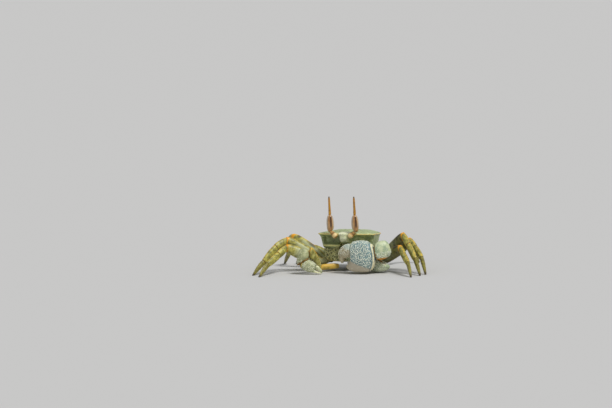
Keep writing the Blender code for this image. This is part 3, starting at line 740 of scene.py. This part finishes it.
# %% Leg skins
SEGMENTS = ("merus", "carpus", "propodus", "dactyl")
KEELS = {"merus": (0, 0.0), "carpus": (4, 0.16), "propodus": (6, 0.2), "dactyl": (6, 0.22)}
BLOTCHED_LEG = "leg4_right"
# The thighs of the left-side legs stand in shade, so extra dark colour is painted on them: painted shade.
SHADED_LEGS = ("leg2_left", "leg3_left", "leg4_left", "leg5_left")
leg_names = [f"leg{n}_{word}" for n in (2, 3, 4, 5) for word in ("left", "right")]
for leg in leg_names:
    for k, part in enumerate(SEGMENTS):
        node = f"{leg}_{part}"
        if part == "dactyl":
            start, length, axes = limb_axes(node, away_from=f"{leg}_propodus")
        else:
            start, length, axes = limb_axes(node, towards=f"{leg}_{SEGMENTS[k + 1]}")
        skin = fine_shell(node, levels=3, crease=0.45, swell=0.16)
        points, normals = read(skin)
        t = (points - start) @ axes[0] / length
        local = normals @ axes.T
        around = np.arctan2(local[:, 2], local[:, 1])
        inner = step_at(t, 0.04, 0.12) * step_at(-t, -0.97, -0.88)
        keels, high = KEELS[part]
        relief = high * (np.abs(np.cos(around * keels / 2)) - 0.6) * inner
        upper = bump_at(around, 0.28)
        lower = bump_at(np.abs(around) - math.pi, 0.25)
        if part == "merus":
            scales = np.maximum(0.0, np.sin(t * length * 2 * math.pi / 1.7 + 1.2 * np.cos(around * 3.0)))
            relief = inner * (0.10 * scales * step_at(np.abs(np.sin(around)), 0.2, 0.6)
                              + 0.35 * upper + 0.25 * lower)
        move(skin, normals * relief[:, None])
        # Painted shade: the left-side legs get a darker thigh colour for the shade that they stand in.
        painted_shade = 0.42 if leg in SHADED_LEGS else 0.0
        patches = bump_at(t - 0.86, 0.05)
        if leg == BLOTCHED_LEG:
            patches = patches + bump_at(t - 0.55, 0.12)
        else:
            patches = 0.45 * patches
        collar = step_at(t, 0.9, 0.985)
        base_end, tip_end = step_at(-t, -0.1, -0.02), step_at(t, 0.93, 0.99)
        warm = 0.55 * upper * (part != "dactyl") + 0.35 * base_end
        dark = 0.5 * tip_end
        pale, grains = 0.0 * t, 0.0 * t
        if part == "merus":
            warm = 0.95 * collar + 0.55 * upper + 0.35 * base_end
            dark = 0.7 * patches * step_at(np.cos(around), 0.1, 0.7) + 1.4 * painted_shade
            pale = 0.75 * step_at(np.abs(local[:, 2]), 0.55, 0.9) * step_at(-t, -0.9, -0.7)
            grains = 0.8 * inner * np.maximum(upper, lower)
        elif part == "carpus":
            warm = 0.55 * upper + 0.9 * step_at(-t, -0.14, -0.03)
        elif part == "dactyl":
            dark = 0.75 * step_at(t, 0.6, 1.0)
        hairy = np.abs(np.sin(around * keels / 2)) ** 6 if keels else lower
        mask(skin, warm=warm, dark=dark, pale=pale, grains=grains, bristles=0.8 * inner * hairy)
        combed(skin, axes[0])
        slot, finish = ("leg_dactyl", DACTYL) if part == "dactyl" else ("leg_shell", LEG)
        done(skin, finish, [node])
        if part != "carpus":
            grown(f"{node}_bristles", skin, BRISTLES, bristle_hair, "leg_shell", Spacing=0.8 * MM,
                  Length=1.5 * MM, Thickness=0.06 * MM, Lean=1.3, Seed=31 + k)
    merus = bpy.data.objects[f"{leg}_merus_skin"]
    grown(f"{leg}_grains", merus, GRAINS, BACK_SPECKS, "leg_shell", Spacing=0.9 * MM, Size=0.3 * MM, Flat=0.8,
          Seed=41)

# %% [markdown]
# ## Claws
# The left claw is the heavy one. Its palm is deep, blue-green and set with cream grains that are
# biggest at its middle; towards the lower edge and on the fingers they fade into bare beige shell. A row
# of blunt knobs borders the palm next to the wrist, and both fingers have blunt teeth. The small claw
# repeats this in a plainer way.

# %% Claw frames
CLAW_AIM = {"left": (157.0, -3.0), "right": (-15.0, -27.0)}
CLAW_SCALE = {"left": 1.0, "right": 0.62}


def heading(azimuth, rise):
    a, r = math.radians(azimuth), math.radians(rise)
    return np.array((math.cos(r) * math.cos(a), math.cos(r) * math.sin(a), math.sin(r)))


def palm_frame(word):
    along = heading(*CLAW_AIM[word])
    upright = np.array((0.0, 0.0, 1.0)) - along * along[2]
    upright /= np.linalg.norm(upright)
    middle = joint(f"claw_{word}_carpus", f"claw_{word}_palm", near=2.2)[0]
    return middle, np.array((along, upright, np.cross(along, upright)))


# Along the claw (s) and across it (u), in mm of the heavy claw. The palm's rim is curved like a bow.
RIM_BOW, RIM_MIDDLE = 0.022, -2.5
BELLY_AT = (13.0, -3.0)
KNOB_STEP = 1.5
HINGE_AT = 26.0
PALM_FINISH = {"left": PALM, "right": MINOR}
FINGER_FINISH = {"left": FINGER, "right": MINOR}
WRIST_FINISH = {"left": WRIST, "right": MINOR}
PALM_GRAINS = {"left": (1.25, 0.66), "right": (1.1, 0.46)}

for word in ("left", "right"):
    middle, axes = palm_frame(word)
    grade = CLAW_SCALE[word]
    levels = 4 if word == "left" else 3
    palm = fine_shell(f"claw_{word}_palm", levels=levels, crease=0.25, swell=0.2 * grade)
    points, normals = read(palm)
    s, u = ((points - middle) @ axes[:2].T).T / grade
    from_rim = s - RIM_BOW * (u - RIM_MIDDLE) ** 2
    knobs = 0.55 + 0.45 * np.sin(u * 2.0 * math.pi / KNOB_STEP)
    edge = bump_at(from_rim - 0.6, 0.7)
    # The end of the palm beyond its rim, next to the wrist, and the furrow behind the rim are painted darker:
    # painted shade, so that they look shadowed.
    painted_shade_cap = step_at(-from_rim, -0.2, 0.5)
    furrow = bump_at(from_rim - 2.2, 0.7)
    finger = step_at(s, 23.0, 27.0)
    bare = np.maximum(step_at(-u - 12.0 + 0.45 * (s - 12.0), -2.5, 3.5), finger)
    belly = 0.35 * bump_at(np.hypot(s - BELLY_AT[0], u - BELLY_AT[1]), 9.0)
    move(palm, normals * (grade * (0.6 * edge * knobs + belly - 0.25 * furrow))[:, None])
    mask(palm, warm=0.95 * edge, pale=bare * 0.95, dark=np.maximum(0.5 * furrow, 0.8 * painted_shade_cap),
         grains=(1 - 0.8 * bare) * step_at(from_rim, 1.6, 2.6))
    done(palm, PALM_FINISH[word], [f"claw_{word}_palm"])
    tip = fine_shell(f"claw_{word}_finger", levels=levels, crease=0.2, swell=0.15 * grade)
    points, normals = read(tip)
    s, u = ((points - middle) @ axes[:2].T).T / grade
    end = step_at(-u, 2.0, 12.0)
    around = np.arctan2(normals @ axes[2], normals @ axes[1])
    move(tip, normals * (0.12 * grade * np.sin(around * 7.0))[:, None])
    mask(tip, pale=0.8 * step_at(u + 0.4 * (HINGE_AT - s), 0.0, 7.0), warm=0.3 * end,
         dark=0.5 * step_at(-u, 11.0, 14.0), grains=0.95 * step_at(u, -4.0, 1.0))
    done(tip, FINGER_FINISH[word], [f"claw_{word}_finger"])
    spacing, size = PALM_GRAINS[word]
    grown(f"claw_{word}_palm_grains", palm, GRAINS, SPECKS, "claw_shell", Spacing=spacing * MM,
          Size=size * MM, Flat=0.6, Seed=51)
    grown(f"claw_{word}_finger_grains", tip, GRAINS, SPECKS, "claw_finger", Spacing=1.2 * MM,
          Size=0.55 * grade * MM, Flat=0.6, Seed=52)

# %% Teeth along the biting edges
TOOTH = shell("tooth_chitin", "#E6DEC4", "#C6BA98", dark="#6A5A3A", cloud_mm=1.5, grain_mm=0.4, fleck=0.1)
for word in ("left", "right"):
    middle, axes = palm_frame(word)
    grade = CLAW_SCALE[word]
    for part, way in (("palm", 1.0), ("finger", -1.0)):
        skin = bpy.data.objects[f"claw_{word}_{part}_skin"]
        points, normals = read(skin)
        s, u = ((points - middle) @ axes[:2].T).T / grade
        beyond = step_at(s, 24.0, 25.0) if word == "left" else step_at(s, 23.5, 25.0)
        facing = step_at(way * (normals @ axes[1]), 0.6, 0.85)
        mask(skin, grains=beyond * facing)
        grown(f"claw_{word}_{part}_teeth", skin, GRAINS, TOOTH, "claw_finger", Spacing=1.5 * grade * MM,
              Size=0.75 * grade * MM, Flat=0.9, Seed=55)

# %% Claw arms
# The side of each claw arm that faces the sky is painted a warmer yellow: painted sunlight.
SUNNY_SIDE = {"left": (0.3, 0.75), "right": (0.0, 0.45)}
ARM_WARMTH = {"left": 0.3, "right": 0.85}
ARM_GRAIN = {"left": 0.64, "right": 0.52}
for word in ("left", "right"):
    parts = ("ischium", "merus", "carpus", "palm")
    for a, b in zip(parts, parts[1:]):
        node = f"claw_{word}_{a}"
        start, length, axes = limb_axes(node, towards=f"claw_{word}_{b}")
        skin = fine_shell(node, levels=3, crease=0.35, swell=0.2)
        points, normals = read(skin)
        t = (points - start) @ axes[0] / length
        local = normals @ axes.T
        around = np.arctan2(local[:, 2], local[:, 1])
        inner = step_at(t, 0.05, 0.15) * step_at(-t, -0.95, -0.85)
        upper = step_at(normals[:, 2], *SUNNY_SIDE[word])
        if a == "carpus":
            frame_middle, frame_axes = palm_frame(word)
            u = (points - frame_middle) @ frame_axes[1]
            low = step_at(-u, -3.5, 1.0)
            mask(skin, warm=0.85 * step_at(-u, 4.8, 6.0), pale=0.25 + 0.0 * u, dark=0.0 * u,
                 grains=0.15 + 0.85 * low)
            done(skin, WRIST_FINISH[word], [node])
        else:
            move(skin, normals * (0.2 * upper * inner)[:, None])
            face = 1.0 if word == "left" and a == "merus" else 0.0
            under = bump_at(np.abs(around) - math.pi, 0.3)
            # Warm colour on the sky-facing top is painted sunlight.
            mask(skin, warm=(ARM_WARMTH[word] * np.maximum(upper, step_at(t, 0.9, 0.98))
                             + (0.6 if a == "ischium" else 0.0)),
                 dark=0.0 * t, pale=0.35 * step_at(local[:, 2] ** 2, 0.5, 0.9) * (1 - face),
                 grains=np.maximum(face, 0.7 * np.maximum(upper, under)) * inner)
            done(skin, WRIST if face else CLAW_ARM, [node])
        if a != "ischium":
            grown(f"{node}_grains", skin, GRAINS, SPECKS, "claw_shell", Spacing=1.2 * MM,
                  Size=ARM_GRAIN[word] * MM, Flat=0.6, Seed=61)

# %% [markdown]
# ## Joint skins
# Between two shell plates lies soft, folded skin, bright orange at the knees. Each is a squashed
# ball set in the gap of a joint, a little smaller than the plates' ends, with fine ring folds.

# %% Soft skin in every joint
def soft_skin(name, low, high):
    material = bpy.data.materials.new(name)
    material.use_nodes = True
    tree = material.node_tree
    tree.nodes.clear()
    place = add(tree, "ShaderNodeTexCoord").outputs["Object"]
    cloud = add(tree, "ShaderNodeTexNoise", {"Vector": place, "Scale": 1 / (1.5 * MM), "Detail": 3.0})
    colour = add(tree, "ShaderNodeValToRGB", {"Fac": cloud.outputs["Fac"]},
                 stops=((0.35, low), (0.6, high)))
    relief = add(tree, "ShaderNodeBump", {"Height": cloud.outputs["Fac"], "Strength": 0.6,
                                          "Distance": 0.1 * MM})
    surface = add(tree, "ShaderNodeBsdfPrincipled", {"Base Color": colour.outputs[0], "Roughness": 0.38,
                                                     "IOR": 1.45, "Subsurface Weight": 0.15,
                                                     "Subsurface Scale": 0.001, "Normal": relief.outputs[0]})
    add(tree, "ShaderNodeOutputMaterial", {"Surface": surface.outputs[0]})
    return material


def squashed_ball(middle, axes, sizes, rings=12, around=24, folds=0.0):
    bm = bmesh.new()
    bmesh.ops.create_uvsphere(bm, u_segments=around, v_segments=rings, radius=1.0)
    spin = Matrix(axes.T.tolist())
    if spin.determinant() < 0:
        spin.col[0] = -spin.col[0]
    for v in bm.verts:
        p = Vector(c * s for c, s in zip(v.co, sizes))
        p *= 1.0 + folds * math.cos(v.co.z * 14.0)
        v.co = (Vector(middle) + spin @ p) * MM
    mesh = bpy.data.meshes.new("ball")
    bm.to_mesh(mesh)
    bm.free()
    return mesh


pairs = []
for leg in leg_names:
    pairs += [(f"{leg}_{a}", f"{leg}_{b}") for a, b in zip(SEGMENTS, SEGMENTS[1:])]
for word in ("left", "right"):
    pairs += [(f"claw_{word}_{a}", f"claw_{word}_{b}") for a, b in zip(("ischium", "merus", "carpus"),
                                                                       ("merus", "carpus", "palm"))]
    pairs.append((f"eyestalk_{word}", f"cornea_{word}"))
knees, plain = [], []
for a, b in pairs:
    middle, axes, spread = joint(a, b, 2.2 if a.startswith("claw") else 1.3)
    thick = max(1.0, 0.45 * spread[1])
    ball = squashed_ball(middle, axes, (0.9 * spread[0], 0.9 * spread[1], thick), folds=0.02)
    (knees if a.startswith("leg") and a.endswith("merus") else plain).append(ball)
joined("knee_skins", knees, soft_skin("knee_membrane", "#C07C1C", "#E8A82C"))
joined("joint_skins", plain, soft_skin("joint_membrane", "#5A4418", "#8A6A24"))
print("soft joints:", len(pairs))

# %% [markdown]
# ## Hips
# A leg doesn't grow out of a flat wall: each starts with a short ring (coxa) that sits in a socket of
# the trunk. A ring is a squashed ball round the root of each leg.

# %% Leg and claw roots
hips = []
for leg in leg_names:
    tip = joint(f"{leg}_merus", "trunk", near=1.2)[0]
    out = BODY_AXES[:, 0] * (1 if leg.endswith("left") else -1)
    frame_axes = np.array((BODY_AXES[:, 1], np.cross(out, BODY_AXES[:, 1]), out))
    hips.append(squashed_ball(tip, frame_axes, (3.3, 3.6, 3.0), folds=0.015))
joined("leg_hips", hips, TRUNK)

# %% [markdown]
# ## Floor, light and camera
# A plain pale floor, one broad light from high up in front and to the right, and an even sky of light
# keep the shadows short and soft. The camera has a long lens and looks down by a few degrees, with a
# slight tilt of the horizon.

# %% Floor
def floor_finish():
    material = bpy.data.materials.new("matt_floor_paint")
    material.use_nodes = True
    tree = material.node_tree
    surface = tree.nodes["Principled BSDF"]
    surface.inputs["Base Color"].default_value = linear("#C9C8C6")
    surface.inputs["Roughness"].default_value = 0.95
    surface.inputs["Specular IOR Level"].default_value = 0.1
    return material


FLOOR_HALF = 30.0
floor_mesh = bpy.data.meshes.new("floor")
corners = [(x * FLOOR_HALF, y * FLOOR_HALF, 0) for x, y in ((-1, -1), (1, -1), (1, 1), (-1, 1))]
floor_mesh.from_pydata(corners, [], [(0, 1, 2, 3)])
floor = link("floor", floor_mesh)
floor_mesh.materials.append(floor_finish())
floor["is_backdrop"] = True

# %% Lights
SKY = 0.41
LIGHT, LIGHT_SPREAD = 2.4, math.radians(18.0)
LIGHT_FROM = Vector((0.45, -0.55, 1.0))
world = bpy.data.worlds.new("soft_sky")
bpy.context.scene.world = world
world.use_nodes = True
world.node_tree.nodes["Background"].inputs["Color"].default_value = linear("#F4F6FA")
world.node_tree.nodes["Background"].inputs["Strength"].default_value = SKY
lamp = bpy.data.lights.new("softbox", "SUN")
lamp.energy = LIGHT
lamp.angle = LIGHT_SPREAD
lamp_place = bpy.data.objects.new("softbox", lamp)
bpy.context.scene.collection.objects.link(lamp_place)
lamp_place.rotation_mode = "QUATERNION"
lamp_place.rotation_quaternion = LIGHT_FROM.to_track_quat("Z", "Y")

# %% Camera
VIEW_RISE, VIEW_ROLL = math.radians(6.5), math.radians(2.3)
DISTANCE = 6.8
FRAME_WIDTH = 0.612
AIM_RIGHT, AIM_UP = -0.0326, 0.06665
forward = Vector((0.0, math.cos(VIEW_RISE), -math.sin(VIEW_RISE)))
level_up = Vector((0.0, math.sin(VIEW_RISE), math.cos(VIEW_RISE)))
across = Vector((1.0, 0.0, 0.0))
right = across * math.cos(VIEW_ROLL) - level_up * math.sin(VIEW_ROLL)
up = level_up * math.cos(VIEW_ROLL) + across * math.sin(VIEW_ROLL)
camera = bpy.data.cameras.new("long_lens")
camera.sensor_width = 36.0
camera.lens = camera.sensor_width * DISTANCE / FRAME_WIDTH
camera.clip_end = 60.0
camera_place = bpy.data.objects.new("long_lens", camera)
bpy.context.scene.collection.objects.link(camera_place)
camera_place.matrix_world = (Matrix.Translation(right * AIM_RIGHT + up * AIM_UP - forward * DISTANCE)
                             @ Matrix((right, up, -forward)).transposed().to_4x4())
bpy.context.scene.camera = camera_place
bpy.context.scene.view_settings.view_transform = "Standard"

# %% Sizes and finish
low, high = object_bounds()
shown = [o for o in bpy.data.objects if o.type == "MESH" and not o.hide_render]
print("triangles:", sum(len(p.vertices) - 2 for o in shown for p in o.data.polygons))
